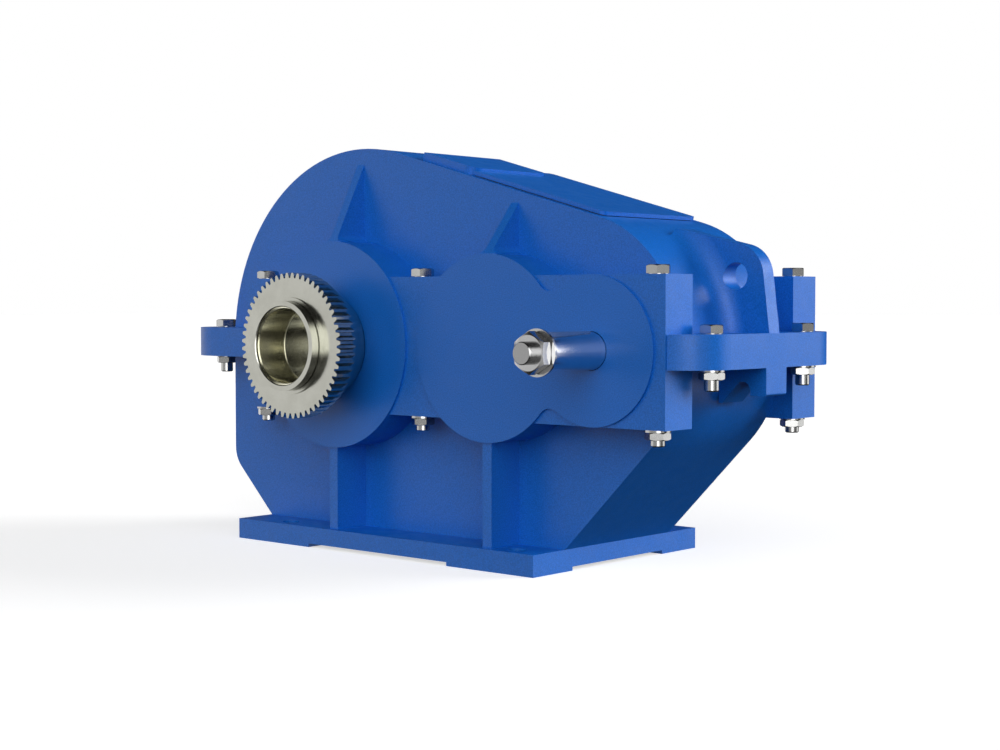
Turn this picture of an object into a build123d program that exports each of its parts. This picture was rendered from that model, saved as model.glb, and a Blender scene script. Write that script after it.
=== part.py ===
from build123d import *
from math import acos, atan2, cos, hypot, pi, radians, sin, tan
import os

# Parallel shaft gear reducer with two stages, in millimetres.
# +X runs from the output shaft to the input shaft, the free shaft ends point along -Y, and +Z is up.
# The origin is the middle of the four foot holes, on the surface that the pads stand on.

# Shaft centres
low_centres = 250.0
high_centres = 150.0
shaft_height = 250.0
output_offset = 96.0

# Foot plate
base_length = 492.0
base_width = 309.0
base_thickness = 25.0
pad_height = 4.5
pad_length = 130.0
pad_width = 69.0
foot_hole_radius = 11.0
foot_back_margin = 76.0
foot_front_margin = 40.0
foot_side_margin = 21.0

# Case
case_width = 198.0
wall = 10.0
floor_thickness = 20.0
crown_radius = 239.5
slope_angle = 15.6
shoulder_radius = 148.0
end_wall_reach = 80.0
back_wall_lean = 45.6
back_wall_round = 36.0
front_wall_lean = 44.5
front_wall_round = 143.0

# Blocks for the tall bolts, and bearing bosses
block_height = 162.0
block_face = 147.0
block_bolt_reach = 136.0
block_end_reach = 74.5
block_margin = 20.5
block_bolt_y = 131.5
output_boss_radius = 125.0
middle_boss_radius = 106.0
input_boss_radius = 81.5

# Joint flange
flange_thickness = 37.0
flange_back_stand = 50.5
flange_front_stand = 55.8
flange_corner_radius = 59.3
flange_bolt_inset = 22.5
flange_bolt_y = 90.0

# Ribs
rib_thickness = 13.5
gusset_thickness = 11.5
gusset_foot_radius = 8.0
output_gusset_height = 95.0
middle_gusset_height = 58.5

# Lifting lug and lower hook
lug_thickness = 20.0
lug_blend_radius = 25.0
lug_foot_stand = 52.9
lug_lean = 7.15
lug_top_fall = 13.1
lug_top_height = 108.8
lug_corner_radius = 37.0
lug_root_reach = 15.0
lug_hole_radius = 15.0
lug_hole_stand = 9.7
lug_hole_height = 80.0
hook_thickness = 40.0
hook_drop = 49.0
hook_tip = 20.0
hook_throat_radius = 10.0
hook_throat_rise = 5.0
hook_root_drop = 58.0
hook_root_depth = 5.0
hook_edge_radius = 3.0

# Inspection opening, its cover and the raised plate
cover_start = 148.0
cover_length = 220.0
cover_width = 176.0
cover_thickness = 4.5
cover_corner_radius = 7.0
gasket_thickness = 1.0
gasket_inset = 2.0
opening_margin = 32.0
plate_start = 95.0
plate_length = 80.0
plate_far_edge = 49.0
plate_thickness = 9.0
plate_corner_radius = 14.0
plate_gap = 0.5

# Bearing covers
cover_disc = 3.0
twin_notch_radius = 18.0
rim_height = 5.0
rim_width = 5.0
rim_from_face = 6.0
spigot_wall = 9.0
spigot_clearance = 0.1

# Bearings
output_near_bore = 55.0
output_near_outside = 100.0
output_near_width = 38.0
output_far_bore = 50.0
output_far_outside = 90.0
output_far_width = 34.0
middle_bore = 30.0
middle_outside = 65.0
middle_width = 31.0
input_bore = 22.5
input_outside = 50.0
input_width = 25.0
bearing_inner_face = 93.0
bearing_running = 0.05
roller_share = 0.21
roller_length_share = 0.62
rollers_per_bearing = 12
roller_sides = 8

# Gears
pressure_angle = 20.0
tooth_addendum = 1.0
tooth_dedendum = 1.25
wheel_flank_steps = 1
pinion_flank_steps = 2
coupling_flank_steps = 2
tooth_thinning = 0.12
low_module = 5.0
low_wheel_teeth = 82
low_pinion_teeth = 18
low_wheel_near = -78.0
low_wheel_face = 80.0
pinion_overlap = 2.0
high_module = 3.0
high_wheel_teeth = 80
high_pinion_teeth = 20
high_wheel_near = 26.0
high_wheel_face = 50.0
low_web = 30.0
low_hub_radius = 92.0
low_rim = 26.0
low_hole_radius = 20.0
high_web = 20.0
high_hub_radius = 56.0
high_rim = 18.0
high_hole_radius = 13.0
wheel_holes = 6

# Output shaft, with the toothed coupling end
coupling_module = 3.0
coupling_teeth = 56
coupling_addendum = 0.77
coupling_dedendum = 1.25
coupling_front = 217.0
coupling_teeth_length = 20.0
cone_end_radius = 60.0
cone_end = 152.0
ring_base_radius = 57.4
ring_base_front = 219.5
ring_neck_radius = 51.8
ring_neck_length = 1.2
mouth_ring_radius = 53.2
mouth_ring_front = 230.5
mouth_radius = 46.3
mouth_chamfer = 1.0
mouth_band = 5.0
seat_bore_radius = 48.5
seat_depth = 44.5
seat_front_radius = 44.9
seat_belly_radius = 46.2
seat_end_radius = 44.6
deep_bore_radius = 43.5
deep_bore_end = 142.0
output_seal_radius = 58.0
low_wheel_seat_radius = 53.0
shaft_end_margin = 1.0
spacer_wall = 8.0

# Middle shaft
middle_shoulder_radius = 37.0
high_wheel_seat_radius = 34.0

# Input shaft
taper_large_radius = 20.5
taper_per_length = 0.05
taper_end = 236.5
input_body_radius = 26.0
stub_radius = 12.0
stub_front = 264.0
stub_chamfer = 1.0
end_washer_radius = 25.0
end_washer_thickness = 3.0
end_nut_flats = 39.0
end_nut_thickness = 14.0
end_nut_chamfer = 30.0
end_nut_face_share = 0.95

# Keys
low_key_width = 28.0
low_key_height = 16.0
high_key_width = 20.0
high_key_height = 12.0
input_key_width = 12.0
input_key_height = 8.0
key_end_margin = 4.0
input_key_top = 21.0
input_key_front = 234.0
input_key_back = 158.0

# Seals
seal_width = 10.0
seal_height = 12.0
seal_recess = 1.0
seal_clearance = 0.3
seal_back_wall = 5.0
passage_clearance = 0.5

# Bolts, nuts and washers
bolt_radius = 8.0
bolt_clearance = 0.5
bolt_flats = 24.0
bolt_head = 9.2
bolt_face_radius = 11.3
bolt_face = 0.8
washer_radius = 14.5
washer_thickness = 2.6
nut_thickness = 8.6
tall_bolt_spare = 6.8
flange_bolt_spare = 11.8
dowel_radius = 6.0
dowel_length = 30.0
dowel_inset = 52.0

# Oil plugs on the back wall
plug_radius = 9.0
plug_flats = 19.0
plug_head = 9.0
plug_boss_radius = 17.0
plug_boss_stand = 3.0
plug_boss_length = 50.0
plug_flange_radius = 14.0
plug_flange = 2.0
drain_height = 52.0
level_height = 150.0
plug_washer_thickness = 1.5

# How far a cut runs past the surface that it starts from, and a length beyond the whole reducer
overrun = 1.0
beyond_all = 1200.0

# A round corner takes at most this share of the shorter wall beside it
round_share = 0.95

# Places worked out from the sizes above
output_x = -output_offset
middle_x = output_x + low_centres
input_x = middle_x + high_centres
case_half = case_width / 2
inner_half = case_half - wall
foot_spacing_x = base_length - foot_back_margin - foot_front_margin
foot_spacing_y = base_width - 2 * foot_side_margin
base_back = -foot_spacing_x / 2 - foot_back_margin
base_front = foot_spacing_x / 2 + foot_front_margin
sump_floor = pad_height + floor_thickness
flange_half = flange_thickness / 2
flange_top = shaft_height + flange_half
flange_bottom = shaft_height - flange_half
end_wall_x = input_x + end_wall_reach
flange_back = output_x - crown_radius - flange_back_stand
flange_front = end_wall_x + flange_front_stand
block_top = shaft_height + block_height / 2
block_bottom = shaft_height - block_height / 2
block_bolt_x = (output_x - block_bolt_reach, output_x + block_bolt_reach, input_x + block_end_reach)
block_back = block_bolt_x[0] - block_margin
block_front = block_bolt_x[2] + block_margin
boss_face = block_face + cover_disc
slope_across = sin(radians(slope_angle))
slope_up = cos(radians(slope_angle))
output_near_bearing = (output_near_bore, output_near_outside, output_near_width)
output_far_bearing = (output_far_bore, output_far_outside, output_far_width)
middle_bearing = (middle_bore, middle_outside, middle_width)
input_bearing = (input_bore, input_outside, input_width)
low_key = (low_key_width, low_key_height)
high_key = (high_key_width, high_key_height)
coupling_tip = coupling_module * (coupling_teeth / 2 + coupling_addendum)
mouth_ring_back = ring_base_front + ring_neck_length
seat_front = mouth_ring_front - mouth_band
seat_back = mouth_ring_front - seat_depth


def cylinder_y(x, near, far, radius, z=shaft_height):
    """A round bar along Y at one shaft centre."""
    return Pos(x, (near + far) / 2, z) * Rot(90, 0, 0) * Cylinder(radius, far - near)


def ring_y(x, near, far, inner, outer, z=shaft_height):
    """A plain ring along Y."""
    return cylinder_y(x, near, far, outer, z) - cylinder_y(x, near - overrun, far + overrun, inner, z)


def cylinder_z(x, y, bottom, top, radius):
    """A round bar along Z."""
    return Pos(x, y, (bottom + top) / 2) * Cylinder(radius, top - bottom)


def cylinder_x(start, end, z, radius):
    """A round bar along X in the middle plane."""
    return Pos((start + end) / 2, 0, z) * Rot(0, 90, 0) * Cylinder(radius, end - start)


def block(x_range, y_range, z_range):
    """A box given by its two ends on each axis."""
    centre = [(low + high) / 2 for low, high in (x_range, y_range, z_range)]
    size = [high - low for low, high in (x_range, y_range, z_range)]
    return Pos(*centre) * Box(*size)


def slab(face, near, far):
    """Gives a face drawn in X and Z its thickness along Y."""
    return extrude(Plane.XZ.offset(-far) * face, far - near)


def turned(x, profile):
    """Turns a closed profile of (radius, y) points about the axis of one shaft."""
    face = make_face(Polyline(*[(radius, y) for radius, y in profile], close=True))
    return Pos(x, 0, shaft_height) * revolve(face, Axis.Y)


def both_sides(solid):
    """The solid and its mirror image on the far side."""
    return [solid, mirror(solid, Plane.XZ)]


def joined(first, pieces):
    """Adds several pieces to one."""
    result = first
    for piece in pieces:
        result = result + piece
    return result


def removed(first, pieces):
    """Cuts several pieces out of one."""
    result = first
    for piece in pieces:
        result = result - piece
    return result


# Case outline, in X and Z

def slope_height(x, radius):
    """Height of the sloping roof that touches a crown of this radius."""
    return shaft_height + (radius - slope_across * (x - output_x)) / slope_up


def back_wall_x(z, inset):
    """The leaning part of the back wall."""
    lean = radians(back_wall_lean)
    return base_back - (z - base_thickness) * tan(lean) + inset / cos(lean)


def front_wall_x(z, inset):
    """The leaning part of the front wall."""
    lean = radians(front_wall_lean)
    return base_front + (z - base_thickness) * tan(lean) - inset / cos(lean)


def case_outline(inset, bottom):
    """Closed face of the case seen from the side, moved inwards by the inset."""
    crown = crown_radius - inset
    shoulder = shoulder_radius - inset
    back = output_x - crown
    front = end_wall_x - inset
    slope = radians(slope_angle)
    back_foot = back_wall_x(bottom, inset)
    front_foot = front_wall_x(bottom, inset)
    heel_z = bottom + (back_foot - back) / tan(radians(back_wall_lean))
    knee_z = bottom + (front - front_foot) / tan(radians(front_wall_lean))
    centre_x = front - shoulder
    centre_z = slope_height(centre_x, crown - shoulder)
    crown_end = (output_x + crown * slope_across, shaft_height + crown * slope_up)
    shoulder_start = (centre_x + shoulder * slope_across, centre_z + shoulder * slope_up)
    crown_turn = (pi + pi / 2 - slope) / 2
    crown_middle = (output_x + crown * cos(crown_turn), shaft_height + crown * sin(crown_turn))
    shoulder_turn = (pi / 2 - slope) / 2
    shoulder_middle = (centre_x + shoulder * cos(shoulder_turn), centre_z + shoulder * sin(shoulder_turn))
    heel = (back, heel_z)
    knee = (front, knee_z)
    face = make_face([
        Line((back_foot, bottom), heel),
        Line(heel, (back, shaft_height)),
        ThreePointArc((back, shaft_height), crown_middle, crown_end),
        Line(crown_end, shoulder_start),
        ThreePointArc(shoulder_start, shoulder_middle, (front, centre_z)),
        Line((front, centre_z), knee),
        Line(knee, (front_foot, bottom)),
        Line((front_foot, bottom), (back_foot, bottom))])
    back_walls = (shaft_height - heel_z, hypot(back_foot - back, heel_z - bottom))
    front_walls = (centre_z - knee_z, hypot(front - front_foot, knee_z - bottom))
    face = fillet(corner_at(face, heel), wall_round(back_wall_round - inset, back_wall_lean, back_walls))
    return fillet(corner_at(face, knee), wall_round(front_wall_round - inset, front_wall_lean, front_walls))


def wall_round(wanted, lean, walls):
    """Radius of a round corner between two walls, limited by the shorter wall."""
    return min(wanted, round_share * min(walls) / tan(radians(lean) / 2))


def corner_at(face, place):
    """The corner of a flat face at this place."""
    return [v for v in face.vertices() if hypot(v.X - place[0], v.Y - place[1]) < 0.01]


def case_body():
    """Outside of the case, between its two side walls."""
    return slab(case_outline(0, base_thickness), -case_half, case_half)


def case_cavity():
    """The hollow for the wheels and the oil."""
    return slab(case_outline(wall, sump_floor), -inner_half, inner_half)


# Parts of the housing casting

def foot_plate():
    """Foot plate that stands on four pads."""
    half_width = base_width / 2
    gap_y = half_width - pad_width
    plate = block((base_back, base_front), (-half_width, half_width), (0, base_thickness))
    gap_z = (-overrun, pad_height)
    across = block((base_back + pad_length, base_front - pad_length), (-base_width, base_width), gap_z)
    along = block((base_back - overrun, base_front + overrun), (-gap_y, gap_y), gap_z)
    return plate - across - along


def joint_flange():
    """The two halves of the flange in one, flush with the bolt blocks."""
    middle = Pos((flange_back + flange_front) / 2, 0, flange_bottom)
    plan = RectangleRounded(flange_front - flange_back, 2 * block_face, flange_corner_radius)
    return extrude(middle * plan, flange_thickness)


def bolt_block():
    """Straight bar along one side that holds the tall bolts."""
    return block((block_back, block_front), (-block_face, -case_half), (block_bottom, block_top))


def bosses():
    """Bearing bosses of one side, from the inside of the wall to the covers."""
    sizes = (
        (output_x, output_boss_radius), (middle_x, middle_boss_radius), (input_x, input_boss_radius))
    return [cylinder_y(x, -block_face, -inner_half, radius) for x, radius in sizes]


def lower_rib(x):
    """Vertical rib under a boss, down to the foot plate."""
    half = rib_thickness / 2
    return block((x - half, x + half), (-block_face, -case_half), (base_thickness, shaft_height))


def gusset(x, boss_radius, height):
    """Triangular rib on a boss that leans back to the side wall."""
    foot = shaft_height + boss_radius
    tip = foot + height
    half = gusset_thickness / 2
    radius = gusset_foot_radius
    flare = Pos(x, foot) * Rectangle(2 * (half + radius), 2 * radius)
    for hand in (-1, 1):
        flare = flare - Pos(x + hand * (half + radius), foot + radius) * Circle(radius)
    front = flare + Pos(x, (shaft_height + tip) / 2) * Rectangle(2 * half, tip - shaft_height)
    corners = [(-case_half, shaft_height), (-block_face, shaft_height), (-block_face, foot), (-case_half, tip)]
    profile = make_face(Polyline(*corners, close=True))
    lean = extrude(Plane.YZ * profile, half + radius, both=True)
    return slab(front, -block_face, -case_half) & Pos(x, 0, 0) * lean


# Lifting lug and lower hook, plates in the middle plane

def lug_outline():
    """Side view of the lug, from the shoulder of the case to the front of the flange."""
    lean = tan(radians(lug_lean))
    fall = tan(radians(lug_top_fall))
    foot_x = end_wall_x + lug_foot_stand
    corner_z = shaft_height + lug_top_height
    corner_x = foot_x - (corner_z - flange_top) * lean
    root_x = input_x + lug_root_reach
    root_z = corner_z + (corner_x - root_x) * fall
    low = shaft_height
    outline = [(root_x, low), (foot_x, low), (foot_x, flange_top), (corner_x, corner_z), (root_x, root_z)]
    face = make_face(Polyline(*outline, close=True))
    return fillet(corner_at(face, (corner_x, corner_z)), lug_corner_radius)


def lug_plate():
    """Plate with the lifting hole, on the flange against the end wall."""
    return slab(lug_outline(), -lug_thickness / 2, lug_thickness / 2)


def lug_blends():
    """Large concave blends where the lug grows out of the end wall and the shoulder."""
    side = lug_thickness / 2
    radius = lug_blend_radius
    square = Pos(radius / 2, radius / 2) * Rectangle(radius, radius)
    corner = square - Pos(radius, radius) * Circle(radius)
    centre_x = end_wall_x - shoulder_radius
    centre_z = slope_height(centre_x, crown_radius - shoulder_radius)
    upright = extrude(Pos(end_wall_x, side, shaft_height) * corner, centre_z - shaft_height)
    turn_axis = Axis((centre_x, 0, centre_z), (0, -1, 0))
    rounded = revolve(Pos(end_wall_x, side, centre_z) * corner, turn_axis, 90 - slope_angle)
    wide = slab(lug_outline(), -side - radius, side + radius)
    blend = (upright + rounded) & wide
    return both_sides(blend)


def hook_plate():
    """Plate under the flange with a round throat for a rope."""
    bottom = shaft_height - hook_drop
    inner_x = flange_front - hook_tip
    throat_x = inner_x - hook_throat_radius
    throat_z = bottom + hook_throat_rise
    root = (end_wall_x, shaft_height - hook_root_drop)
    distance = hypot(root[0] - throat_x, root[1] - throat_z)
    towards_root = atan2(root[1] - throat_z, root[0] - throat_x) % (2 * pi)
    turn = towards_root - acos(hook_throat_radius / distance)
    touch = (throat_x + hook_throat_radius * cos(turn), throat_z + hook_throat_radius * sin(turn))
    top = (throat_x + hook_throat_radius * cos(turn / 2), throat_z + hook_throat_radius * sin(turn / 2))
    inner_end = end_wall_x - hook_root_depth
    path = [touch, root, (inner_end, root[1]), (inner_end, shaft_height), (flange_front, shaft_height)]
    path += [(flange_front, bottom), (inner_x, bottom), (inner_x, throat_z)]
    edges = [Line(a, b) for a, b in zip(path, path[1:])]
    edges.append(ThreePointArc((inner_x, throat_z), top, touch))
    face = make_face(edges)
    face = fillet(corner_at(face, (flange_front, bottom)), hook_edge_radius)
    return slab(face, -hook_thickness / 2, hook_thickness / 2)


# What is cut out of the housing

def bearing_bores():
    """Bores of all three shafts, with a groove for the rim of each cover."""
    bores = (
        (output_x, -1, output_near_bearing), (output_x, 1, output_far_bearing),
        (middle_x, -1, middle_bearing), (middle_x, 1, middle_bearing),
        (input_x, -1, input_bearing), (input_x, 1, input_bearing))
    cuts = []
    for x, side, bearing in bores:
        ends = sorted((side * (inner_half - overrun), side * (block_face + overrun)))
        cuts.append(cylinder_y(x, ends[0], ends[1], bearing[1]))
        near = side * (block_face - rim_from_face + spigot_clearance)
        far = side * (block_face - rim_from_face - rim_width - spigot_clearance)
        groove = bearing[1] + rim_height + spigot_clearance
        cuts.append(cylinder_y(x, min(near, far), max(near, far), groove))
    return cuts


def bolt_places():
    """Centres of the six tall bolts."""
    return [(x, side * block_bolt_y) for x in block_bolt_x for side in (-1, 1)]


def flange_bolt_places():
    """Centres of the four flange bolts."""
    ends = (flange_back + flange_bolt_inset, flange_front - flange_bolt_inset)
    return [(x, side * flange_bolt_y) for x in ends for side in (-1, 1)]


def dowel_places():
    """Centres of the two dowels, on opposite corners of the flange."""
    return [(flange_back + dowel_inset, flange_bolt_y), (flange_front - dowel_inset, -flange_bolt_y)]


def foot_places():
    """Centres of the four foot holes."""
    half_x = foot_spacing_x / 2
    half_y = foot_spacing_y / 2
    return [(a * half_x, b * half_y) for a in (-1, 1) for b in (-1, 1)]


def housing_holes():
    """Bolt, dowel, foot, lug and oil holes."""
    radius = bolt_radius + bolt_clearance
    drilled = (
        (bolt_places(), block_bottom, block_top, radius),
        (flange_bolt_places(), flange_bottom, flange_top, radius),
        (foot_places(), 0, base_thickness, foot_hole_radius))
    cuts = dowel_pins()
    for places, bottom, top, hole in drilled:
        cuts += [cylinder_z(x, y, bottom - overrun, top + overrun, hole) for x, y in places]
    lug_x = end_wall_x + lug_hole_stand
    lug_z = shaft_height + lug_hole_height
    cuts.append(cylinder_y(lug_x, -lug_thickness, lug_thickness, lug_hole_radius, lug_z))
    for height, face in oil_plugs():
        cuts.append(cylinder_x(face - overrun, face + plug_boss_length, height, plug_radius))
    return cuts


def oil_plugs():
    """Height and boss face of the drain plug and the level plug, on the back wall."""
    drain_face = back_wall_x(drain_height + plug_boss_radius, 0) - plug_boss_stand
    level_face = output_x - crown_radius - plug_boss_stand
    return ((drain_height, drain_face), (level_height, level_face))


def plug_bosses():
    """Round bosses of the oil plugs on the back wall."""
    return [
        cylinder_x(face, face + plug_boss_length, height, plug_boss_radius) for height, face in oil_plugs()]


# Slope frame: places on the sloping roof, measured along it

def slope_plane(lift=0.0):
    """Plane on the roof: first axis down the slope, second axis along Y, normal outwards."""
    start = (
        output_x + (crown_radius + lift) * slope_across, 0,
        shaft_height + (crown_radius + lift) * slope_up)
    return Plane(origin=start, x_dir=(slope_up, 0, -slope_across), z_dir=(slope_across, 0, slope_up))


def on_slope(face, lift, thickness):
    """Gives a face drawn on the roof its thickness, from a height above the roof."""
    return extrude(slope_plane(lift) * face, thickness)


def along_slope(x_distance):
    """Distance down the roof from its top, for a distance along X from the output shaft."""
    return (x_distance - crown_radius * slope_across) / slope_up


def rounded_plate(start, length, near, far, radius):
    """Rectangle on the roof with round corners."""
    middle = Pos(start + length / 2, (far - near) / 2)
    return middle * RectangleRounded(length, near + far, radius)


def raised_outline(near_edge, gap=0.0):
    """Outline of the thick plate near the crown, with its lower corners round."""
    start = along_slope(plate_start) - gap
    length = plate_length / slope_up + 2 * gap
    far_edge = plate_far_edge + gap
    sheet = Pos(start + length / 2, (far_edge - near_edge) / 2) * Rectangle(length, near_edge + far_edge)
    lower_corners = sheet.vertices().sort_by(Axis.X)[2:]
    return fillet(lower_corners, plate_corner_radius + gap)


def cover_outline(inset=0.0):
    """Outline of the inspection cover, which leaves room for the raised plate."""
    start = along_slope(cover_start) + inset
    length = cover_length / slope_up - 2 * inset
    half = cover_width / 2 - inset
    past_edge = cover_width / 2 + 2 * plate_corner_radius
    sheet = rounded_plate(start, length, half, half, cover_corner_radius)
    return sheet - raised_outline(past_edge, plate_gap + inset)


def opening_outline():
    """Outline of the inspection opening under the cover."""
    start = along_slope(plate_start + plate_length) + opening_margin
    end = along_slope(cover_start + cover_length) - opening_margin
    half = cover_width / 2 - opening_margin
    return rounded_plate(start, end - start, half, half, cover_corner_radius)


# Housing

def whole_housing():
    """Both housings in one piece, before they are parted at shaft height."""
    body = case_body() + foot_plate() + joint_flange() + lug_plate() + hook_plate()
    body = joined(body, lug_blends())
    body = joined(body, plug_bosses())
    ribbed_bosses = (
        (output_x, output_boss_radius, output_gusset_height),
        (middle_x, middle_boss_radius, middle_gusset_height))
    for side_piece in [bolt_block()] + bosses():
        body = joined(body, both_sides(side_piece))
    for x, radius, height in ribbed_bosses:
        body = joined(body, both_sides(lower_rib(x)))
        body = joined(body, both_sides(gusset(x, radius, height)))
    body = body - case_cavity()
    body = removed(body, bearing_bores() + housing_holes())
    return body - on_slope(opening_outline(), -3 * wall, 6 * wall)


def lower_half():
    """Space below the joint."""
    return block((-beyond_all, beyond_all), (-beyond_all, beyond_all), (-overrun, shaft_height))


def lower_housing(body):
    """Lower housing with the foot plate."""
    return body & lower_half()


def upper_housing(body):
    """Upper housing with the roof."""
    return body - lower_half()


def inspection_cover():
    """Plain plate over the inspection opening."""
    return on_slope(cover_outline(), gasket_thickness, cover_thickness)


def cover_gasket():
    """Gasket between the cover and the roof."""
    return on_slope(cover_outline(gasket_inset) - opening_outline(), 0, gasket_thickness)


def raised_plate():
    """Thicker plate near the crown."""
    return on_slope(raised_outline(cover_width / 2), 0, plate_thickness)


def dowel_pins():
    """Two dowels that line up the housings."""
    half = dowel_length / 2
    return [cylinder_z(x, y, shaft_height - half, shaft_height + half, dowel_radius) for x, y in dowel_places()]


# Bearing covers, made for the near side

def spigot(x, bearing):
    """Spigot that holds the bearing, with the rim that the housings grip."""
    inner_end = -bearing_inner_face - bearing[2]
    body = ring_y(x, -block_face, inner_end, bearing[1] - spigot_wall, bearing[1] - spigot_clearance)
    rim_near = -block_face + rim_from_face
    return body + ring_y(x, rim_near, rim_near + rim_width, bearing[1] - spigot_wall, bearing[1] + rim_height)


def round_disc():
    """Round disc over the output boss."""
    return cylinder_y(output_x, -boss_face, -block_face, output_boss_radius)


def twin_disc():
    """Disc in the shape of a figure eight over the middle and input bosses."""
    plan = Pos(middle_x, shaft_height) * Circle(middle_boss_radius)
    plan += Pos(input_x, shaft_height) * Circle(input_boss_radius)
    waist = [v for v in plan.vertices() if middle_x < v.X < input_x and abs(v.Y - shaft_height) > 1]
    return slab(fillet(waist, twin_notch_radius), -boss_face, -block_face)


def seal_housing(x, bearing, shaft_radius):
    """Web inside a spigot that carries the seal round the shaft."""
    inner_end = -bearing_inner_face - bearing[2]
    seat_end = -boss_face + seal_recess + seal_width
    web_end = min(seat_end + seal_back_wall, inner_end)
    web = cylinder_y(x, -block_face, web_end, bearing[1] - spigot_wall / 2)
    cut = cylinder_y(x, -boss_face - overrun, inner_end + overrun, shaft_radius + passage_clearance)
    seat = cylinder_y(x, -block_face, seat_end, shaft_radius + seal_height)
    return web, [cut, seat]


def output_cover():
    """Cover of the output boss, with a passage for the shaft."""
    cover = round_disc() + spigot(output_x, output_near_bearing)
    web, cuts = seal_housing(output_x, output_near_bearing, output_seal_radius)
    return removed(cover + web, cuts)


def twin_cover():
    """Cover of the middle and input bosses, with a passage for the input shaft."""
    cover = twin_disc() + spigot(middle_x, middle_bearing) + spigot(input_x, input_bearing)
    web, cuts = seal_housing(input_x, input_bearing, taper_large_radius)
    return removed(cover + web, cuts)


def output_blind_cover():
    """Closed cover on the far end of the output shaft."""
    return mirror(round_disc() + spigot(output_x, output_far_bearing), Plane.XZ)


def twin_blind_cover():
    """Closed cover on the far ends of the middle and input shafts."""
    return mirror(twin_disc() + spigot(middle_x, middle_bearing) + spigot(input_x, input_bearing), Plane.XZ)


def shaft_seal(x, shaft_radius):
    """Lip seal in a cover."""
    back = -boss_face + seal_recess + seal_width
    return ring_y(x, -block_face, back, shaft_radius + seal_clearance, shaft_radius + seal_height)


# Bearings

def bearing_radii(bearing):
    """Radius of the inner race, of the rollers and of the outer race."""
    bore, outside, _ = bearing
    roller = (outside - bore) * roller_share
    middle = (outside + bore) / 2
    return middle - roller, roller, middle + roller + bearing_running


def bearing_span(bearing, side):
    """The two ends of a bearing along Y."""
    near = side * bearing_inner_face
    far = side * (bearing_inner_face + bearing[2])
    return min(near, far), max(near, far)


def outer_ring(x, bearing, side):
    """Outer ring, in the housing."""
    near, far = bearing_span(bearing, side)
    return ring_y(x, near, far, bearing_radii(bearing)[2], bearing[1])


def inner_ring(x, bearing, side):
    """Inner ring, on the shaft."""
    near, far = bearing_span(bearing, side)
    return ring_y(x, near, far, bearing[0], bearing_radii(bearing)[0])


def rollers(x, bearing, side):
    """Rollers that stand on the inner race, each a prism with an edge on the race."""
    near, far = bearing_span(bearing, side)
    inner_race, radius, _ = bearing_radii(bearing)
    half = bearing[2] * roller_length_share / 2
    middle = (near + far) / 2
    first = Pos(inner_race + radius, 0) * RegularPolygon(radius, roller_sides)
    pieces = []
    for count in range(rollers_per_bearing):
        turn = Rot(0, 0, 360 * count / rollers_per_bearing)
        pieces.append(slab(Pos(x, shaft_height) * turn * first, middle - half, middle + half))
    return pieces


# Gears

def involute(angle):
    """Involute function of a pressure angle."""
    return tan(angle) - angle


def gear_outline(module, teeth, first_angle, steps, thinning=tooth_thinning,
                 addendum=tooth_addendum, dedendum=tooth_dedendum):
    """Face of a spur gear, each flank drawn through points of its involute."""
    pitch = module * teeth / 2
    tip = pitch + addendum * module
    root = pitch - dedendum * module
    alpha = radians(pressure_angle)
    base = pitch * cos(alpha)
    half_pitch_angle = (pi * module / 4 - thinning) / pitch
    start = max(base, root)
    flank = []
    for step in range(steps + 1):
        radius = start + (tip - start) * step / steps
        angle = half_pitch_angle + involute(alpha) - involute(acos(min(1.0, base / radius)))
        flank.append((radius, angle))
    if root < base:
        flank.insert(0, (root, flank[0][1]))
    points = []
    for count in range(teeth):
        middle = radians(first_angle) + 2 * pi * count / teeth
        points += [(r * cos(middle - a), r * sin(middle - a)) for r, a in flank]
        points += [(r * cos(middle + a), r * sin(middle + a)) for r, a in reversed(flank)]
    return make_face(Polyline(*points, close=True))


def gear_at(x, outline, near, far):
    """Solid gear on one shaft."""
    return slab(Pos(x, shaft_height) * outline, near, far)


def keyway(x, seat_radius, key, near, far, above):
    """Slot or key bar on top of a seat, from this far under the seat to this far above it."""
    return block((x - key[0] / 2, x + key[0] / 2), (near, far),
                 (shaft_height + seat_radius - key[1] / 2, shaft_height + seat_radius + above))


def wheel(x, outline, near, face, bore, key, web, hub, rim_radius, hole):
    """Gear wheel with a thinner web, a hub, a rim and round holes."""
    solid = gear_at(x, outline, near, near + face)
    depth = (face - web) / 2
    start = near - overrun
    end = near + face + overrun
    recess = ring_y(x, start, near + depth, hub, rim_radius)
    recess += ring_y(x, near + face - depth, end, hub, rim_radius)
    solid = solid - recess - cylinder_y(x, start, end, bore)
    circle = (hub + rim_radius) / 2
    for count in range(wheel_holes):
        angle = 2 * pi * (count + 0.5) / wheel_holes
        place_z = shaft_height + circle * sin(angle)
        solid = solid - cylinder_y(x + circle * cos(angle), start, end, hole, place_z)
    return solid - keyway(x, bore, key, start, end, key[1] / 2)


def low_wheel():
    """Large wheel on the output shaft."""
    outline = gear_outline(low_module, low_wheel_teeth, 0, wheel_flank_steps)
    rim_radius = low_module * low_wheel_teeth / 2 - low_rim
    return wheel(output_x, outline, low_wheel_near, low_wheel_face, low_wheel_seat_radius,
                 low_key, low_web, low_hub_radius, rim_radius, low_hole_radius)


def high_wheel():
    """Wheel of the first stage, on the middle shaft."""
    outline = gear_outline(high_module, high_wheel_teeth, 0, wheel_flank_steps)
    rim_radius = high_module * high_wheel_teeth / 2 - high_rim
    return wheel(middle_x, outline, high_wheel_near, high_wheel_face, high_wheel_seat_radius,
                 high_key, high_web, high_hub_radius, rim_radius, high_hole_radius)


def wheel_key(x, seat_radius, key, near, face):
    """Key between a shaft and its wheel."""
    return keyway(x, seat_radius, key, near + key_end_margin, near + face - key_end_margin, key[1] / 2)


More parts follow.
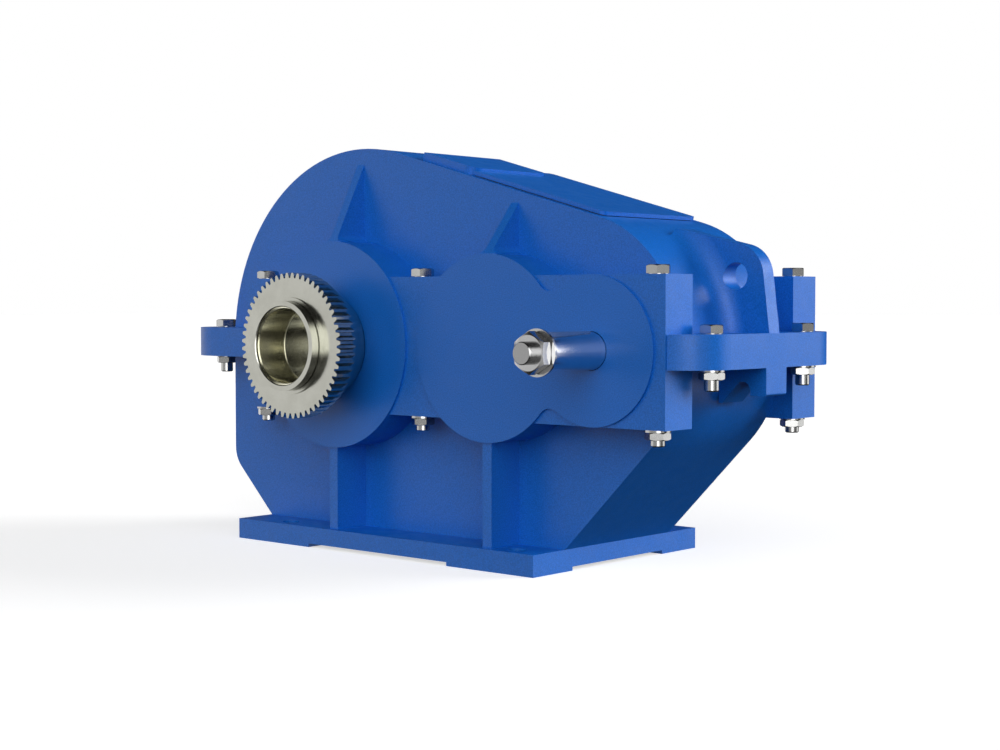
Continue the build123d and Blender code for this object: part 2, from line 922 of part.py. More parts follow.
def meshing_angle(teeth):
    """Turns a pinion so that a gap faces the wheel on its back side."""
    return 180 - 180 / teeth


# Shafts

def output_shaft_profile():
    """Turned outline of the output shaft, as (radius, y) from the open end to the far end."""
    near_journal = -bearing_inner_face - output_near_width
    wheel_end = low_wheel_near + low_wheel_face
    far_end = bearing_inner_face + output_far_width + shaft_end_margin
    return [
        (0, -deep_bore_end), (deep_bore_radius, -deep_bore_end), (deep_bore_radius, -seat_back),
        (seat_bore_radius, -seat_back), (seat_bore_radius, -mouth_ring_back),
        (ring_neck_radius, -mouth_ring_back), (ring_neck_radius, -ring_base_front),
        (ring_base_radius, -ring_base_front), (ring_base_radius, -coupling_front),
        (coupling_tip, -coupling_front), (coupling_tip, -coupling_front + coupling_teeth_length),
        (cone_end_radius, -cone_end), (output_seal_radius, -cone_end), (output_seal_radius, near_journal),
        (output_near_bore, near_journal), (output_near_bore, -bearing_inner_face),
        (low_wheel_seat_radius, -bearing_inner_face), (low_wheel_seat_radius, wheel_end),
        (output_far_bore, wheel_end), (output_far_bore, far_end), (0, far_end)]


def output_shaft():
    """Output shaft with the toothed coupling end and the keyway of the wheel."""
    shaft = turned(output_x, output_shaft_profile())
    outline = gear_outline(
        coupling_module, coupling_teeth, 360 / coupling_teeth / 2, coupling_flank_steps, 0,
        coupling_addendum, coupling_dedendum)
    start = -coupling_front - overrun
    gaps = cylinder_y(output_x, start, -cone_end, coupling_tip + overrun)
    gaps = gaps - gear_at(output_x, outline, start - overrun, -cone_end + overrun)
    shaft = shaft - gaps
    return shaft - wheel_key(output_x, low_wheel_seat_radius, low_key, low_wheel_near, low_wheel_face)


def mouth_ring():
    """Ring on the open end of the output shaft that keeps the bearing seat in."""
    return turned(output_x, [
        (mouth_radius, -seat_front), (mouth_radius, -mouth_ring_front + mouth_chamfer),
        (mouth_radius + mouth_chamfer, -mouth_ring_front), (mouth_ring_radius, -mouth_ring_front),
        (mouth_ring_radius, -mouth_ring_back), (seat_bore_radius, -mouth_ring_back),
        (seat_bore_radius, -seat_front)])


def barrel_seat():
    """Bearing seat with a barrel bore, in the open end of the output shaft."""
    front = (seat_front_radius, -seat_front)
    belly = (seat_belly_radius, -(seat_front + seat_back) / 2)
    back = (seat_end_radius, -seat_back)
    edges = [
        Line((seat_bore_radius, -seat_front), (seat_bore_radius, -seat_back)),
        Line((seat_bore_radius, -seat_back), back),
        ThreePointArc(back, belly, front),
        Line(front, (seat_bore_radius, -seat_front))]
    return Pos(output_x, 0, shaft_height) * revolve(make_face(edges), Axis.Y)


def output_spacer():
    """Ring between the near bearing and the wheel."""
    radius = low_wheel_seat_radius
    return ring_y(output_x, -bearing_inner_face, low_wheel_near, radius, radius + spacer_wall)


def output_sleeve():
    """Long sleeve between the wheel and the far bearing."""
    radius = output_far_bore
    return ring_y(output_x, low_wheel_near + low_wheel_face, bearing_inner_face, radius, radius + spacer_wall)


def pinion_shaft():
    """Middle shaft with the low pinion cut on it."""
    journal_end = bearing_inner_face + middle_width + shaft_end_margin
    pinion_near = low_wheel_near - pinion_overlap
    pinion_far = low_wheel_near + low_wheel_face + pinion_overlap
    wheel_end = high_wheel_near + high_wheel_face
    shaft = turned(middle_x, [
        (0, -journal_end), (middle_bore, -journal_end), (middle_bore, -bearing_inner_face),
        (middle_shoulder_radius, -bearing_inner_face), (middle_shoulder_radius, high_wheel_near),
        (high_wheel_seat_radius, high_wheel_near), (high_wheel_seat_radius, wheel_end),
        (middle_bore, wheel_end), (middle_bore, journal_end), (0, journal_end)])
    turn = meshing_angle(low_pinion_teeth)
    outline = gear_outline(low_module, low_pinion_teeth, turn, pinion_flank_steps)
    shaft = shaft + gear_at(middle_x, outline, pinion_near, pinion_far)
    return shaft - wheel_key(middle_x, high_wheel_seat_radius, high_key, high_wheel_near, high_wheel_face)


def middle_sleeve():
    """Sleeve between the high wheel and the far bearing."""
    start = high_wheel_near + high_wheel_face
    return ring_y(middle_x, start, bearing_inner_face, middle_bore, middle_bore + spacer_wall)


def input_key_block():
    """Key on the taper of the input shaft."""
    top = shaft_height + input_key_top
    half = input_key_width / 2
    return block(
        (input_x - half, input_x + half), (-input_key_front, -input_key_back), (top - input_key_height, top))


def input_shaft():
    """Input shaft with its pinion, the taper and the threaded stub."""
    journal_end = bearing_inner_face + input_width
    pinion_near = high_wheel_near - pinion_overlap
    pinion_far = high_wheel_near + high_wheel_face + pinion_overlap
    taper_small = taper_large_radius - (taper_end - boss_face) * taper_per_length
    shaft = turned(input_x, [
        (0, -stub_front), (stub_radius - stub_chamfer, -stub_front), (stub_radius, -stub_front + stub_chamfer),
        (stub_radius, -taper_end), (taper_small, -taper_end), (taper_large_radius, -boss_face),
        (taper_large_radius, -journal_end), (input_bore, -journal_end), (input_bore, -bearing_inner_face),
        (input_body_radius, -bearing_inner_face), (input_body_radius, bearing_inner_face),
        (input_bore, bearing_inner_face), (input_bore, journal_end + shaft_end_margin),
        (0, journal_end + shaft_end_margin)])
    turn = meshing_angle(high_pinion_teeth)
    outline = gear_outline(high_module, high_pinion_teeth, turn, pinion_flank_steps)
    shaft = shaft + gear_at(input_x, outline, pinion_near, pinion_far)
    return shaft - input_key_block()


def hexagon(flats):
    """Hexagon with this width across its flats."""
    return RegularPolygon(flats / 2, 6, major_radius=False)


def end_washer():
    """Large washer against the taper."""
    return ring_y(input_x, -taper_end - end_washer_thickness, -taper_end, stub_radius, end_washer_radius)


def end_nut():
    """Nut on the threaded stub, with a point of the hexagon upwards and both ends turned to a cone."""
    far = -taper_end - end_washer_thickness
    near = far - end_nut_thickness
    face = end_nut_face_share * end_nut_flats / 2
    rise = (end_nut_flats - face) * tan(radians(end_nut_chamfer))
    body = slab(Pos(input_x, shaft_height) * Rot(0, 0, 30) * hexagon(end_nut_flats), near, far)
    cone = turned(input_x, [
        (stub_radius, near), (face, near), (end_nut_flats, near + rise), (end_nut_flats, far - rise),
        (face, far), (stub_radius, far)])
    return body & cone


# Fasteners along Z

def hex_bolt(x, y, seat, grip, spare):
    """Bolt from above, with its head on the seat and its end this far below the nut."""
    end = seat - grip - washer_thickness - nut_thickness - spare
    bolt = cylinder_z(x, y, end, seat + bolt_face, bolt_radius)
    bolt += cylinder_z(x, y, seat, seat + bolt_face, bolt_face_radius)
    head = extrude(Pos(x, y, seat + bolt_face) * hexagon(bolt_flats), bolt_head)
    return bolt + head


def bolt_washer(x, y, under):
    """Washer under a block or a flange."""
    ring = cylinder_z(x, y, under - washer_thickness, under, washer_radius)
    hole = bolt_radius + bolt_clearance
    return ring - cylinder_z(x, y, under - washer_thickness - overrun, under + overrun, hole)


def hex_nut(x, y, under):
    """Nut below its washer, turned by half a flat against the bolt head."""
    top = under - washer_thickness
    body = extrude(Pos(x, y, top - nut_thickness) * Rot(0, 0, 30) * hexagon(bolt_flats), nut_thickness)
    return body - cylinder_z(x, y, top - nut_thickness - overrun, top + overrun, bolt_radius)


def fastener_set(places, seat, under, spare):
    """Bolts, nuts and washers at several places."""
    bolts = [hex_bolt(x, y, seat, seat - under, spare) for x, y in places]
    nuts = [hex_nut(x, y, under) for x, y in places]
    washers = [bolt_washer(x, y, under) for x, y in places]
    return bolts, nuts, washers


def oil_plug(height, face):
    """Plug with a hexagon head in a boss of the back wall."""
    seat = face - plug_washer_thickness
    stem = cylinder_x(seat, face + wall, height, plug_radius)
    flange = cylinder_x(seat - plug_flange, seat, height, plug_flange_radius)
    head_plane = Plane(origin=(seat - plug_flange, 0, height), z_dir=(-1, 0, 0))
    return stem + flange + extrude(head_plane * hexagon(plug_flats), plug_head)


def plug_seal(height, face):
    """Sealing ring under the head of an oil plug."""
    seat = face - plug_washer_thickness
    ring = cylinder_x(seat, face, height, plug_flange_radius)
    return ring - cylinder_x(seat - overrun, face + overrun, height, plug_radius)


# Everything, one entry for each named piece

def bearing_parts():
    """Rings and rollers of the six bearings."""
    places = {
        "output_near": (output_x, output_near_bearing, -1), "output_far": (output_x, output_far_bearing, 1),
        "middle_near": (middle_x, middle_bearing, -1), "middle_far": (middle_x, middle_bearing, 1),
        "input_near": (input_x, input_bearing, -1), "input_far": (input_x, input_bearing, 1)}
    parts = {}
    for name, place in places.items():
        parts[name + "_outer_ring"] = [outer_ring(*place)]
        parts[name + "_inner_ring"] = [inner_ring(*place)]
        parts[name + "_rollers"] = rollers(*place)
    return parts


def all_parts():
    """Every named piece as a list of its solids."""
    body = whole_housing()
    tall_bolts, tall_nuts, tall_washers = fastener_set(
        bolt_places(), block_top, block_bottom, tall_bolt_spare)
    flange_bolts, flange_nuts, flange_washers = fastener_set(
        flange_bolt_places(), flange_top, flange_bottom, flange_bolt_spare)
    parts = {
        "lower_housing": [lower_housing(body)],
        "upper_housing": [upper_housing(body)],
        "inspection_cover": [inspection_cover()],
        "cover_gasket": [cover_gasket()],
        "raised_plate": [raised_plate()],
        "dowel_pins": dowel_pins(),
        "output_cover": [output_cover()],
        "output_blind_cover": [output_blind_cover()],
        "twin_cover": [twin_cover()],
        "twin_blind_cover": [twin_blind_cover()],
        "output_seal": [shaft_seal(output_x, output_seal_radius)],
        "input_seal": [shaft_seal(input_x, taper_large_radius)],
        "tall_bolts": tall_bolts,
        "tall_nuts": tall_nuts,
        "tall_washers": tall_washers,
        "flange_bolts": flange_bolts,
        "flange_nuts": flange_nuts,
        "flange_washers": flange_washers,
        "drain_plug": [oil_plug(*oil_plugs()[0])],
        "level_plug": [oil_plug(*oil_plugs()[1])],
        "plug_seals": [plug_seal(*plug) for plug in oil_plugs()],
        "output_shaft": [output_shaft()],
        "mouth_ring": [mouth_ring()],
        "barrel_seat": [barrel_seat()],
        "low_wheel": [low_wheel()],
        "low_wheel_key": [wheel_key(
            output_x, low_wheel_seat_radius, low_key, low_wheel_near, low_wheel_face)],
        "output_spacer": [output_spacer()],
        "output_sleeve": [output_sleeve()],
        "pinion_shaft": [pinion_shaft()],
        "high_wheel": [high_wheel()],
        "high_wheel_key": [wheel_key(
            middle_x, high_wheel_seat_radius, high_key, high_wheel_near, high_wheel_face)],
        "middle_sleeve": [middle_sleeve()],
        "input_shaft": [input_shaft()],
        "input_key": [input_key_block()],
        "end_washer": [end_washer()],
        "end_nut": [end_nut()]}
    parts.update(bearing_parts())
    return parts


def single_solids(pieces):
    """The solids of a list of pieces, in one flat list."""
    return [solid for piece in pieces for solid in piece.solids()]


os.makedirs("parts", exist_ok=True)
for node, pieces in all_parts().items():
    found = single_solids(pieces)
    whole = found[0] if len(found) == 1 else Compound(found)
    export_step(whole, f"parts/{node}.step")
    print(node, len(found))
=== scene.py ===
import math

import bmesh
import bpy
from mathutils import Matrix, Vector

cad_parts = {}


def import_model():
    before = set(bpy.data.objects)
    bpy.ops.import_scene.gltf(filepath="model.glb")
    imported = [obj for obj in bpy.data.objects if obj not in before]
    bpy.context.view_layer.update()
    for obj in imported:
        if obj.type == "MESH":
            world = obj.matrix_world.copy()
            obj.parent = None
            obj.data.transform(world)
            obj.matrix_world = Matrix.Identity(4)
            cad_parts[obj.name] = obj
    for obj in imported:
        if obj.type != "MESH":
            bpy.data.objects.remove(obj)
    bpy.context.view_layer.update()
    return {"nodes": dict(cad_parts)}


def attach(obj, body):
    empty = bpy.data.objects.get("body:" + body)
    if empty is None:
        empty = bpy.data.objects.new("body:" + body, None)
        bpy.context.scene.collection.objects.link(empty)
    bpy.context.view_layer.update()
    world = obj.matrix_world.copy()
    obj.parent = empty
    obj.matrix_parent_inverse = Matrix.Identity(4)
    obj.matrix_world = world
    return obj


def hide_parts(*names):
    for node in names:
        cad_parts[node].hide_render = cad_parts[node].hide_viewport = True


# Camera, in metres in the part's own frame
CAMERA_PLACE = (1.4402, -1.5936, 0.3036)
CAMERA_TARGET = (0.04467, 0.0, 0.21225)
LENS = 62.27
SENSOR = 36.0

# Bright panels of the studio as metal and gloss show them. Only the left one lights dull faces too, where the
# suns don't reach. Azimuth runs from -Y towards +X, and angles are
# in degrees: middle azimuth, half width, soft edge sideways, lowest and highest elevation, soft edge up and
# down, brightness
PANELS = (
    (44.0, 16.0, 6.0, -14.0, 36.0, 8.0, 3.3),
    (0.0, 34.0, 8.0, -40.0, 30.0, 12.0, 0.45),
    (80.0, 10.0, 7.0, -20.0, 26.0, 10.0, 0.6),
    (139.0, 22.0, 8.0, -20.0, 34.0, 9.0, 1.2),
    (139.0, 20.0, 7.0, 5.0, 34.0, 8.5, 3.1),
)
LEFT_PANEL = (-79.0, 43.0, 12.0, -30.0, 30.0, 12.0, 0.98)
STUDIO_DIM = 0.03
AMBIENT = 0.05

# Suns: azimuth, elevation and angle of the disc in degrees, and the light on a face turned to it
KEY = (138.0, 20.0, 34.0, 0.82)
FILL = (38.0, 11.0, 90.0, 0.98)

# The floor as the camera sees it, and as the object is lit by it
FLOOR_SIZE = 60.0
FLOOR_SEEN = 0.68
FLOOR_BOUNCE = 0.04
PANEL_ON_FLOOR = 0.065

# Bolts and nuts, in millimetres: places, then the levels of end, nut and seat
TALL_PLACES = [(x, y) for x in (-232.0, 40.0, 378.5) for y in (-131.5, 131.5)]
FLANGE_PLACES = [(x, y) for x in (-363.5, 417.3) for y in (-90.0, 90.0)]
TALL_LEVELS = (151.0, 157.8, 331.0)
FLANGE_LEVELS = (208.5, 220.3, 268.5)
BOLT_RADIUS = 8.0
BOLT_FLATS = 24.0
BOLT_FACE = 0.8
BOLT_FACE_RADIUS = 11.3
HEAD_HEIGHT = 9.2
NUT_HEIGHT = 8.6
END_CHAMFER = 1.3
TURNED_SLOPE = math.tan(math.radians(30))
TURNED_SHARE = 0.94
FASTENER_STEPS = 48

# Where the ground part of the input shaft ends and its turned end begins, in metres along Y
GROUND_END = -0.2365
TURNED_TONE = (0.37, 0.37, 0.37)
GROUND_TONE = (0.78, 0.78, 0.79)

# Which nodes wear which finish
FINISHES = {
    "blue_paint": (
        "lower_housing", "upper_housing", "inspection_cover", "raised_plate", "output_cover",
        "output_blind_cover", "twin_cover", "twin_blind_cover"),
    "satin_steel": (
        "output_shaft", "mouth_ring", "pinion_shaft", "output_spacer", "output_sleeve", "middle_sleeve"),
    "gear_steel": ("low_wheel", "high_wheel"),
    "bright_steel": (
        "tall_bolts", "tall_nuts", "tall_washers", "flange_bolts", "flange_nuts", "flange_washers",
        "drain_plug", "level_plug", "dowel_pins", "low_wheel_key", "high_wheel_key"),
    "polished_steel": ("input_key", "end_nut", "end_washer"),
    "ground_steel": ("input_shaft",),
    "warm_steel": ("barrel_seat",),
    "seal_rubber": ("output_seal", "input_seal"),
    "gasket_board": ("cover_gasket",),
    "copper_ring": ("plug_seals",),
}


# Steels: darkest and lightest colour, smoothest and roughest, then scale and depth of the grain
STEELS = {
    "satin_steel": ((0.44, 0.44, 0.39), (0.49, 0.49, 0.44), 0.16, 0.21, 300.0, 0.0000005),
    "gear_steel": ((0.42, 0.42, 0.41), (0.50, 0.50, 0.49), 0.28, 0.38, 900.0, 0.000008),
    "bright_steel": ((0.46, 0.46, 0.45), (0.52, 0.52, 0.51), 0.15, 0.20, 300.0, 0.0000005),
    "polished_steel": ((0.49, 0.49, 0.49), (0.55, 0.55, 0.55), 0.17, 0.21, 300.0, 0.0000005),
    "warm_steel": ((0.90, 0.87, 0.68), (0.95, 0.93, 0.76), 0.17, 0.22, 300.0, 0.0000005),
    "copper_ring": ((0.62, 0.28, 0.16), (0.74, 0.36, 0.22), 0.25, 0.35, 700.0, 0.00001),
}

# Soft materials: darkest and lightest colour, roughness and scale of the mottling
DULLS = {
    "seal_rubber": ((0.012, 0.012, 0.013), (0.022, 0.022, 0.024), 0.62, 220.0),
    "gasket_board": ((0.05, 0.055, 0.05), (0.09, 0.095, 0.085), 0.85, 350.0),
}

# Chamfer round the mouth of a nut, and the middle of a closed end, in millimetres
NUT_MOUTH = 0.8
END_MIDDLE = 0.01


# Shader helpers

def new_material(name):
    """Empty node material with a Principled shader."""
    material = bpy.data.materials.new(name)
    material.use_nodes = True
    tree = material.node_tree
    return material, tree, tree.nodes["Principled BSDF"]


def noise(tree, scale, detail=2.0, roughness=0.5):
    """Noise in the piece's own space, where 1 is a metre."""
    place = tree.nodes.new("ShaderNodeTexCoord")
    texture = tree.nodes.new("ShaderNodeTexNoise")
    texture.inputs["Scale"].default_value = scale
    texture.inputs["Detail"].default_value = detail
    texture.inputs["Roughness"].default_value = roughness
    tree.links.new(place.outputs["Object"], texture.inputs["Vector"])
    return texture.outputs["Fac"]


def to_range(tree, value, low, high, start=0.3, end=0.7, step="LINEAR"):
    """Spreads a value over a range; the usual ends suit a noise."""
    node = tree.nodes.new("ShaderNodeMapRange")
    node.interpolation_type = step
    node.inputs["From Min"].default_value = start
    node.inputs["From Max"].default_value = end
    node.inputs["To Min"].default_value = low
    node.inputs["To Max"].default_value = high
    tree.links.new(value, node.inputs["Value"])
    return node.outputs["Result"]


def mixed_colour(tree, value, first, second):
    """Colour between two others."""
    node = tree.nodes.new("ShaderNodeMix")
    node.data_type = "RGBA"
    node.inputs["A"].default_value = (*first, 1.0)
    node.inputs["B"].default_value = (*second, 1.0)
    tree.links.new(value, node.inputs["Factor"])
    return node.outputs["Result"]


def bump(tree, height, distance, strength=1.0, below=None):
    """Bump from a height, on top of another bump."""
    node = tree.nodes.new("ShaderNodeBump")
    node.inputs["Strength"].default_value = strength
    node.inputs["Distance"].default_value = distance
    tree.links.new(height, node.inputs["Height"])
    if below is not None:
        tree.links.new(below, node.inputs["Normal"])
    return node.outputs["Normal"]


# Finishes

def blue_paint():
    """Semi-gloss paint with a fine speckle over a cast skin."""
    material, tree, shader = new_material("blue_paint")
    speckle = to_range(tree, noise(tree, 760.0, 1.0), 0.0, 1.0)
    tree.links.new(
        mixed_colour(tree, speckle, (0.002, 0.106, 0.45), (0.009, 0.154, 0.64)), shader.inputs["Base Color"])
    tree.links.new(to_range(tree, noise(tree, 60.0), 0.34, 0.42), shader.inputs["Roughness"])
    peel = bump(tree, noise(tree, 320.0), 0.00006)
    tree.links.new(bump(tree, noise(tree, 1100.0, 1.0), 0.00002, 1.0, peel), shader.inputs["Normal"])
    shader.inputs["Specular IOR Level"].default_value = 0.5
    return material


def steel(name, dark, light, rough_low, rough_high, grain, depth):
    """Bare steel with a little variation in its colour, roughness and grain."""
    material, tree, shader = new_material(name)
    shader.inputs["Metallic"].default_value = 1.0
    tone = to_range(tree, noise(tree, 45.0, 3.0), 0.0, 1.0)
    tree.links.new(mixed_colour(tree, tone, dark, light), shader.inputs["Base Color"])
    tree.links.new(to_range(tree, noise(tree, grain), rough_low, rough_high), shader.inputs["Roughness"])
    tree.links.new(bump(tree, noise(tree, grain, 1.0), depth), shader.inputs["Normal"])
    return material


def ground_steel():
    """Ground steel of the input shaft, greyer on the turned end past its washer."""
    material, tree, shader = new_material("ground_steel")
    shader.inputs["Metallic"].default_value = 1.0
    place = tree.nodes.new("ShaderNodeTexCoord")
    parts = tree.nodes.new("ShaderNodeSeparateXYZ")
    tree.links.new(place.outputs["Object"], parts.inputs["Vector"])
    ground = to_range(tree, parts.outputs["Y"], 0.0, 1.0, GROUND_END - 0.0005, GROUND_END + 0.0005)
    tone = join(tree, "MULTIPLY", ground, to_range(tree, noise(tree, 45.0, 3.0), 0.88, 1.0))
    tree.links.new(mixed_colour(tree, tone, TURNED_TONE, GROUND_TONE), shader.inputs["Base Color"])
    tree.links.new(to_range(tree, noise(tree, 300.0), 0.18, 0.23), shader.inputs["Roughness"])
    return material


def dull(name, dark, light, roughness, grain):
    """Soft material with a mottled colour."""
    material, tree, shader = new_material(name)
    tone = to_range(tree, noise(tree, grain, 4.0), 0.0, 1.0)
    tree.links.new(mixed_colour(tree, tone, dark, light), shader.inputs["Base Color"])
    shader.inputs["Roughness"].default_value = roughness
    tree.links.new(bump(tree, noise(tree, grain * 4), 0.00003), shader.inputs["Normal"])
    return material


def all_finishes():
    """Every finish by name."""
    finishes = {"blue_paint": blue_paint(), "ground_steel": ground_steel()}
    for name, values in STEELS.items():
        finishes[name] = steel(name, *values)
    for name, values in DULLS.items():
        finishes[name] = dull(name, *values)
    return finishes


def dress(nodes, finishes):
    """Gives every CAD node its finish."""
    for finish, names in FINISHES.items():
        for name in names:
            wear(nodes[name], finishes[finish])
    for name, node in nodes.items():
        if name.endswith(("_outer_ring", "_inner_ring", "_rollers")):
            wear(node, finishes["gear_steel"])


def wear(piece, material):
    """Puts one material in every slot of a piece."""
    for slot in piece.material_slots:
        slot.material = material


# Bolts and nuts with turned corners and ends, in place of the plain ones

def hexagon_reach(flats, turn, angle):
    """Distance from the middle of a hexagon to its side at an angle."""
    sixth = math.pi / 3
    return flats / 2 / math.cos((angle - turn) % sixth - sixth / 2)


def round_line(radius, level):
    """Level circle."""
    return [(radius, level)] * FASTENER_STEPS


def hexagon_line(turn, level, turned=0.0):
    """Edge of a hexagon. A cone lowers it towards the corners where turned is 1, and lifts it where it is -1."""
    face = TURNED_SHARE * BOLT_FLATS / 2
    line = []
    for step in range(FASTENER_STEPS):
        reach = hexagon_reach(BOLT_FLATS, turn, step * 2 * math.pi / FASTENER_STEPS)
        line.append((reach, level - turned * (reach - face) * TURNED_SLOPE))
    return line


def band(mesh, place, below, above, smooth):
    """Strip of faces from one line round a Z axis to the next."""
    rings = []
    for line in (below, above):
        ring = []
        for step, (reach, level) in enumerate(line):
            angle = step * 2 * math.pi / FASTENER_STEPS
            x = place[0] + reach * math.cos(angle)
            y = place[1] + reach * math.sin(angle)
            ring.append(mesh.verts.new((x / 1000, y / 1000, level / 1000)))
        rings.append(ring)
    for step in range(FASTENER_STEPS):
        after = (step + 1) % FASTENER_STEPS
        face = mesh.faces.new((rings[0][step], rings[0][after], rings[1][after], rings[1][step]))
        face.smooth = smooth


def turned_bolt(mesh, place, levels):
    """Bolt with a turned head and a chamfered end."""
    end, _, seat = levels
    under = seat + BOLT_FACE
    top = under + HEAD_HEIGHT
    face = TURNED_SHARE * BOLT_FLATS / 2
    lines = [
        (round_line(END_MIDDLE, end), False),
        (round_line(BOLT_RADIUS - END_CHAMFER, end), True),
        (round_line(BOLT_RADIUS, end + END_CHAMFER), True),
        (round_line(BOLT_RADIUS, seat), False),
        (round_line(BOLT_FACE_RADIUS, seat), True),
        (round_line(BOLT_FACE_RADIUS, under), False),
        (hexagon_line(0.0, under), False),
        (hexagon_line(0.0, top, 1.0), True),
        (round_line(face, top), False),
        (round_line(END_MIDDLE, top), False)]
    for (below, smooth), (above, _) in zip(lines, lines[1:]):
        band(mesh, place, below, above, smooth)


def turned_nut(mesh, place, levels):
    """Nut with both ends turned to a cone."""
    low = levels[1]
    high = low + NUT_HEIGHT
    face = TURNED_SHARE * BOLT_FLATS / 2
    turn = math.radians(30)
    lines = [
        (round_line(BOLT_RADIUS, low + NUT_MOUTH), True),
        (round_line(BOLT_RADIUS + NUT_MOUTH, low), False),
        (round_line(face, low), True),
        (hexagon_line(turn, low, -1.0), False),
        (hexagon_line(turn, high, 1.0), True),
        (round_line(face, high), False),
        (round_line(BOLT_RADIUS, high), True),
        (round_line(BOLT_RADIUS, low + NUT_MOUTH), True)]
    for (below, smooth), (above, _) in zip(lines, lines[1:]):
        band(mesh, place, below, above, smooth)


def fasteners(node, make, places, levels, material):
    """One piece in place of a node of bolts or nuts."""
    mesh = bmesh.new()
    for place in places:
        make(mesh, place, levels)
    data = bpy.data.meshes.new(f"turned_{node}")
    mesh.to_mesh(data)
    mesh.free()
    data.materials.append(material)
    piece = bpy.data.objects.new(f"turned_{node}", data)
    bpy.context.scene.collection.objects.link(piece)
    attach(piece, "casing")
    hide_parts(node)


def all_fasteners(material):
    """Every bolt and nut of the joint."""
    fasteners("tall_bolts", turned_bolt, TALL_PLACES, TALL_LEVELS, material)
    fasteners("tall_nuts", turned_nut, TALL_PLACES, TALL_LEVELS, material)
    fasteners("flange_bolts", turned_bolt, FLANGE_PLACES, FLANGE_LEVELS, material)
    fasteners("flange_nuts", turned_nut, FLANGE_PLACES, FLANGE_LEVELS, material)


# Stage

def world():
    """White for the camera, and a dark studio with bright panels for light and reflections."""
    scene_world = bpy.data.worlds.new("studio")
    bpy.context.scene.world = scene_world
    scene_world.use_nodes = True
    tree = scene_world.node_tree
    tree.nodes.clear()
    output = tree.nodes.new("ShaderNodeOutputWorld")
    rays = tree.nodes.new("ShaderNodeLightPath")
    seen = join(tree, "MAXIMUM", rays.outputs["Is Camera Ray"], rays.outputs["Is Transmission Ray"])
    place = tree.nodes.new("ShaderNodeTexCoord")
    parts = tree.nodes.new("ShaderNodeSeparateXYZ")
    tree.links.new(place.outputs["Generated"], parts.inputs["Vector"])
    away = join(tree, "MULTIPLY", parts.outputs["Y"], -1.0)
    azimuth = join(tree, "ARCTAN2", parts.outputs["X"], away)
    elevation = join(tree, "ARCSINE", parts.outputs["Z"])
    left = panel_light(tree, azimuth, elevation, *LEFT_PANEL)
    brightness = join(tree, "ADD", left, STUDIO_DIM)
    for panel in PANELS:
        brightness = join(tree, "ADD", panel_light(tree, azimuth, elevation, *panel), brightness)
    studio = background(tree, 1.0)
    tree.links.new(brightness, studio.inputs["Strength"])
    soft = background(tree, 1.0)
    tree.links.new(join(tree, "ADD", left, AMBIENT), soft.inputs["Strength"])
    lit = mix_shaders(tree, rays.outputs["Is Glossy Ray"], soft, studio)
    shown = mix_shaders(tree, seen, lit, background(tree, 1.0))
    tree.links.new(shown.outputs[0], output.inputs["Surface"])


def background(tree, strength):
    """Plain white background."""
    node = tree.nodes.new("ShaderNodeBackground")
    node.inputs["Color"].default_value = (1.0, 1.0, 1.0, 1.0)
    node.inputs["Strength"].default_value = strength
    return node


def panel_light(tree, azimuth, elevation, middle, half_width, soft_side, low, high, soft_height, brightness):
    """Brightness of one panel with soft edges."""
    aside = join(tree, "ABSOLUTE", join(tree, "SUBTRACT", azimuth, math.radians(middle)))
    across = edge(tree, aside, half_width, soft_side, 1.0, 0.0)
    above = edge(tree, elevation, low, soft_height, 0.0, 1.0)
    below = edge(tree, elevation, high, soft_height, 1.0, 0.0)
    height = join(tree, "MULTIPLY", above, below)
    return join(tree, "MULTIPLY", join(tree, "MULTIPLY", across, height), brightness)


def edge(tree, angle, place, soft, before, after):
    """Smooth step at an angle given in degrees."""
    start = math.radians(place - soft)
    end = math.radians(place + soft)
    return to_range(tree, angle, before, after, start, end, "SMOOTHSTEP")


def join(tree, operation, *values):
    """Math node on sockets and plain numbers."""
    node = tree.nodes.new("ShaderNodeMath")
    node.operation = operation
    for socket, value in zip(node.inputs, values):
        if isinstance(value, float):
            socket.default_value = value
        else:
            tree.links.new(value, socket)
    return node.outputs[0]


def mix_shaders(tree, factor, first, second):
    """Mix Shader node."""
    node = tree.nodes.new("ShaderNodeMixShader")
    tree.links.new(factor, node.inputs[0])
    tree.links.new(first.outputs[0], node.inputs[1])
    tree.links.new(second.outputs[0], node.inputs[2])
    return node


def towards(azimuth, elevation):
    """Unit vector of a direction given in degrees."""
    turn = math.radians(azimuth)
    rise = math.radians(elevation)
    return Vector((math.sin(turn) * math.cos(rise), -math.cos(turn) * math.cos(rise), math.sin(rise)))


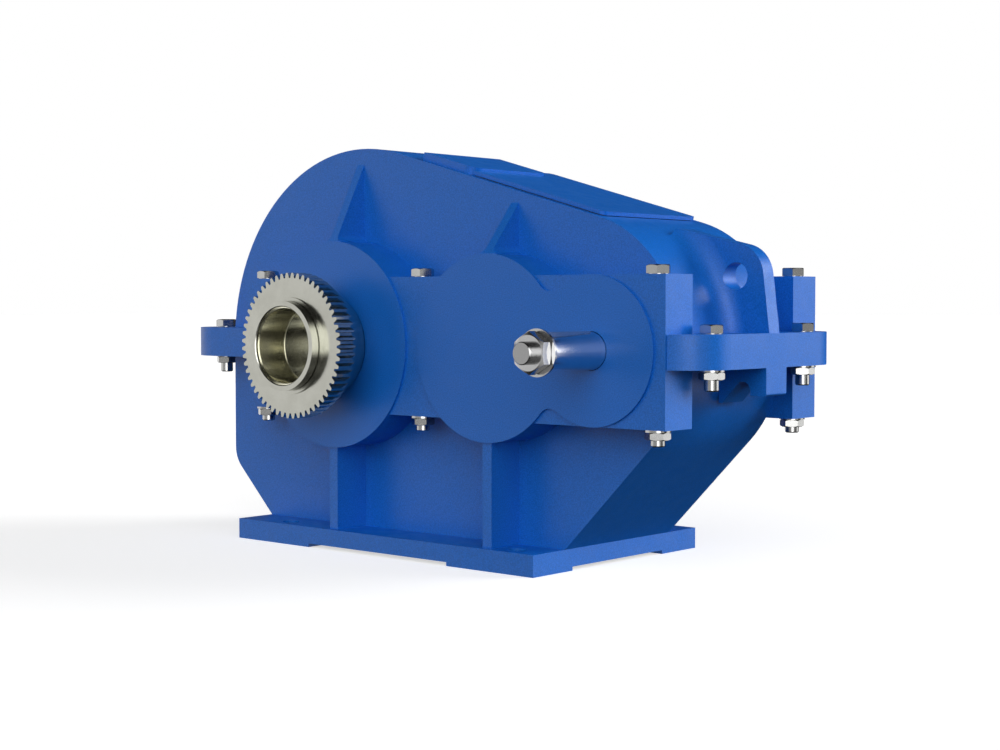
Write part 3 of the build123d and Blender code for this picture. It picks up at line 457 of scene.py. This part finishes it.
def floor():
    """White floor that keeps the object's shadow, throws almost no light back and isn't mirrored in metal."""
    mesh = bpy.data.meshes.new("floor")
    half = FLOOR_SIZE / 2
    corners = [(-half, -half, 0), (half, -half, 0), (half, half, 0), (-half, half, 0)]
    mesh.from_pydata(corners, [], [(0, 1, 2, 3)])
    piece = bpy.data.objects.new("floor", mesh)
    bpy.context.scene.collection.objects.link(piece)
    material = bpy.data.materials.new("pale_floor")
    material.use_nodes = True
    tree = material.node_tree
    tree.nodes.clear()
    output = tree.nodes.new("ShaderNodeOutputMaterial")
    rays = tree.nodes.new("ShaderNodeLightPath")
    from_suns = sum(lamp[3] * math.sin(math.radians(lamp[1])) for lamp in (KEY, FILL))
    light_on_floor = AMBIENT + PANEL_ON_FLOOR + from_suns
    shadowed = diffuse(tree, FLOOR_SEEN)
    glow = tree.nodes.new("ShaderNodeEmission")
    glow.inputs["Strength"].default_value = 1.0 - FLOOR_SEEN * light_on_floor
    seen = tree.nodes.new("ShaderNodeAddShader")
    tree.links.new(shadowed.outputs[0], seen.inputs[0])
    tree.links.new(glow.outputs[0], seen.inputs[1])
    both = mix_shaders(tree, rays.outputs["Is Camera Ray"], diffuse(tree, FLOOR_BOUNCE), seen)
    tree.links.new(both.outputs[0], output.inputs["Surface"])
    mesh.materials.append(material)
    piece.visible_glossy = False


def diffuse(tree, grey):
    """Plain grey."""
    node = tree.nodes.new("ShaderNodeBsdfDiffuse")
    node.inputs["Color"].default_value = (grey, grey, grey, 1.0)
    return node


def sun(name, azimuth, elevation, disc, light):
    """Soft sun that metal and gloss don't show, because the panels stand there for them."""
    data = bpy.data.lights.new(name, "SUN")
    data.energy = light * math.pi
    data.angle = math.radians(disc)
    piece = bpy.data.objects.new(name, data)
    bpy.context.scene.collection.objects.link(piece)
    piece.rotation_mode = "QUATERNION"
    piece.rotation_quaternion = towards(azimuth, elevation).to_track_quat("Z", "Y")
    piece.visible_glossy = False


def camera():
    """Camera at the photograph's place."""
    data = bpy.data.cameras.new("camera")
    data.sensor_width = SENSOR
    data.lens = LENS
    piece = bpy.data.objects.new("camera", data)
    bpy.context.scene.collection.objects.link(piece)
    piece.location = CAMERA_PLACE
    piece.rotation_mode = "QUATERNION"
    piece.rotation_quaternion = (Vector(CAMERA_TARGET) - Vector(CAMERA_PLACE)).to_track_quat("-Z", "Y")
    bpy.context.scene.camera = piece


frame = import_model()
bpy.context.scene.view_settings.view_transform = "Standard"
camera()
world()
floor()
sun("key", *KEY)
sun("fill", *FILL)
finishes = all_finishes()
dress(frame["nodes"], finishes)
all_fasteners(finishes["bright_steel"])
